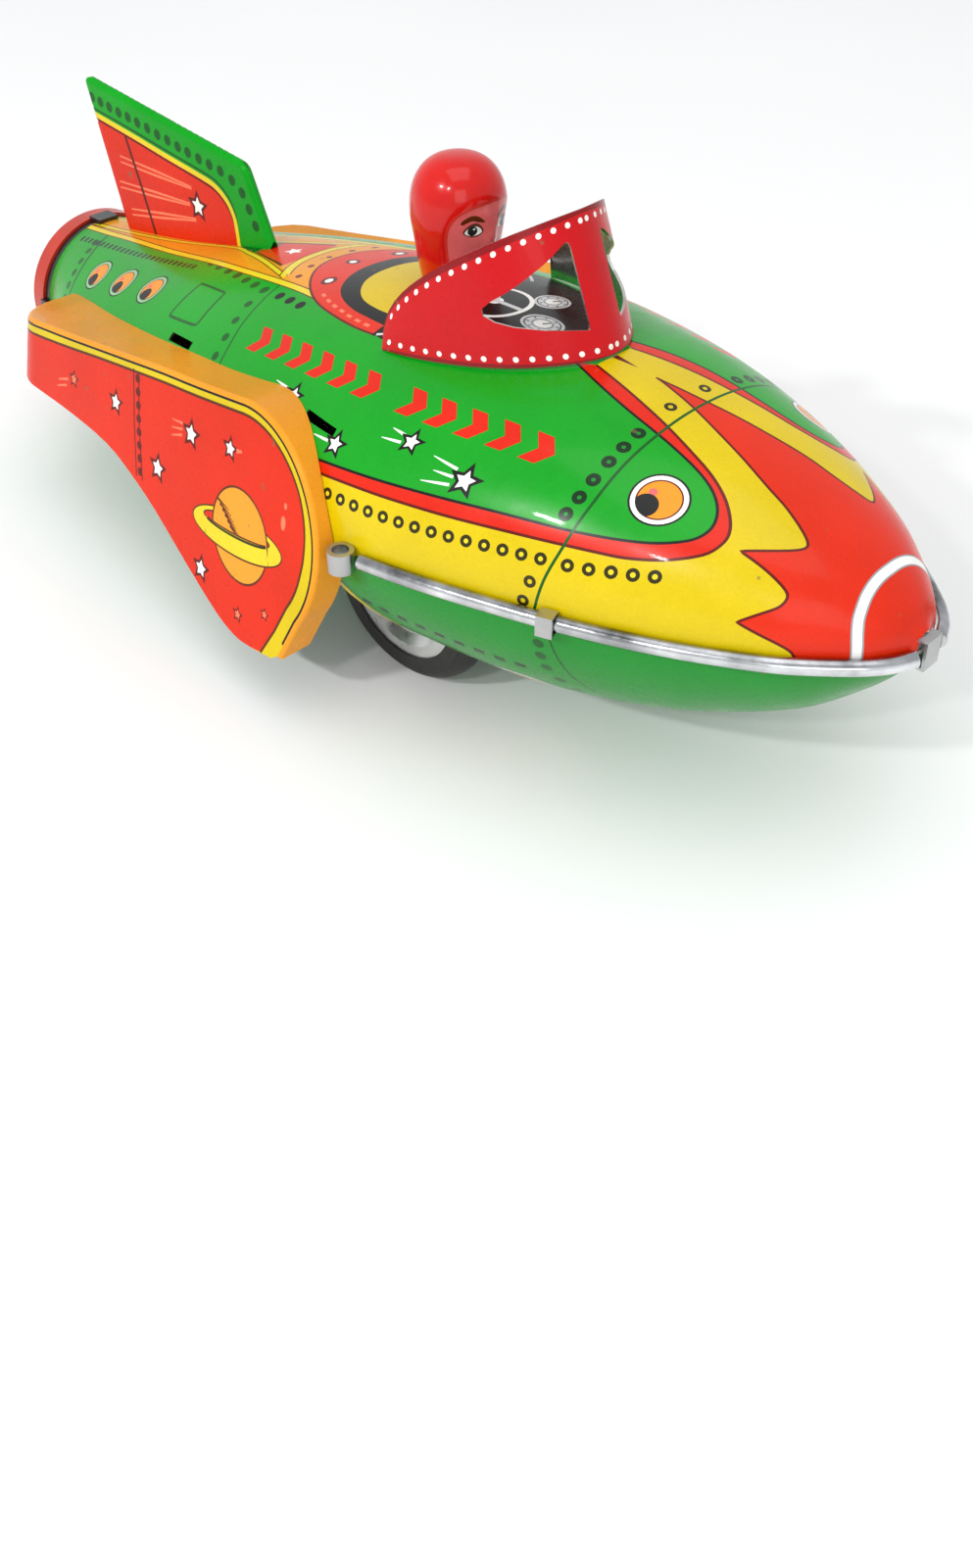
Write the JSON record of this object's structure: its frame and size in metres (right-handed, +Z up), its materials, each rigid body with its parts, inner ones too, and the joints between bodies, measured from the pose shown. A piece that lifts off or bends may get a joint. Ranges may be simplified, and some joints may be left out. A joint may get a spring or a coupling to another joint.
{
  "type": "tin toy space rocket",
  "caption": "Friction-drive tin space rocket with a two-part hull, side pods, tail fin, windscreen, driver's head and geared flywheel motor.",
  "frame": {"origin": "on the ground under the middle of the toy, at the bottom centre of its box", "axes": "+X towards the nose, +Y towards the left side, +Z up"},
  "size_m": [0.1841, 0.0822, 0.0723],
  "materials": {
    "upper_tin": "glossy lithographed tin, bright green with red, yellow and black artwork",
    "lower_tin": "glossy lithographed tin, deep green",
    "trim": "bright plated strip",
    "clip": "bright plated clip",
    "collar": "black painted tin",
    "nozzle": "glossy red painted tin",
    "exhaust": "glossy orange painted tin",
    "fin_tin": "glossy lithographed tin, green border on a red panel",
    "pod_tin": "glossy lithographed tin, red with an orange rim",
    "screen_tin": "glossy crimson lithographed tin",
    "helmet": "glossy red moulding with a painted pink face",
    "steel": "plain steel",
    "gear": "stamped brass",
    "iron": "turned iron disc",
    "hub": "silver tin disc",
    "tyre": "black rubber"
  },
  "bodies": {
    "chassis": {"upper_shell": "upper_tin", "lower_shell": "lower_tin", "trim_strip_right": "trim", "trim_strip_left": "trim", "trim_clips": "clip", "trim_end_knobs": "clip", "nose_clip": "clip", "tail_clips": "clip", "nozzle_collar": "collar", "nozzle_ring": "nozzle", "exhaust_disc": "exhaust", "tail_fin": "fin_tin", "pod_right": "pod_tin", "pod_left": "pod_tin", "windscreen": "screen_tin", "driver_head": "helmet", "motor_plate_right": "steel", "motor_plate_left": "steel", "motor_spacers": "steel", "motor_rivets": "steel", "axle_washers": "steel", "rear_bracket": "steel", "rear_axle": "steel"},
    "front_axle": {"drive_axle": "steel", "drive_gear": "gear", "wheel_hub_right": "hub", "wheel_hub_left": "hub", "tyre_right": "tyre", "tyre_left": "tyre"},
    "idler": {"idler_shaft": "steel", "idler_pinion": "gear", "idler_gear": "gear"},
    "flywheel": {"flywheel_shaft": "steel", "flywheel_pinion": "gear", "flywheel": "iron"},
    "rear_wheel": {"rear_wheel": "tyre"}
  },
  "joints": [
    {"name": "front_axle_spin", "type": "hinge", "parent": "chassis", "child": "front_axle", "pos_m": [0.0194, 0, 0.0154], "axis": [0, 1, 0], "continuous": true},
    {"name": "idler_spin", "type": "hinge", "parent": "chassis", "child": "idler", "pos_m": [0.01005, 0, 0.0208], "axis": [0, 1, 0], "continuous": true},
    {"name": "flywheel_spin", "type": "hinge", "parent": "chassis", "child": "flywheel", "pos_m": [0.00069, 0, 0.0262], "axis": [0, 1, 0], "continuous": true},
    {"name": "rear_wheel_spin", "type": "hinge", "parent": "chassis", "child": "rear_wheel", "pos_m": [-0.0446, 0, 0.007], "axis": [0, 1, 0], "continuous": true}
  ],
  "couplings": [
    {"joint": "idler_spin", "follows": "flywheel_spin", "ratio": -0.28571},
    {"joint": "front_axle_spin", "follows": "flywheel_spin", "ratio": 0.10989}
  ]
}
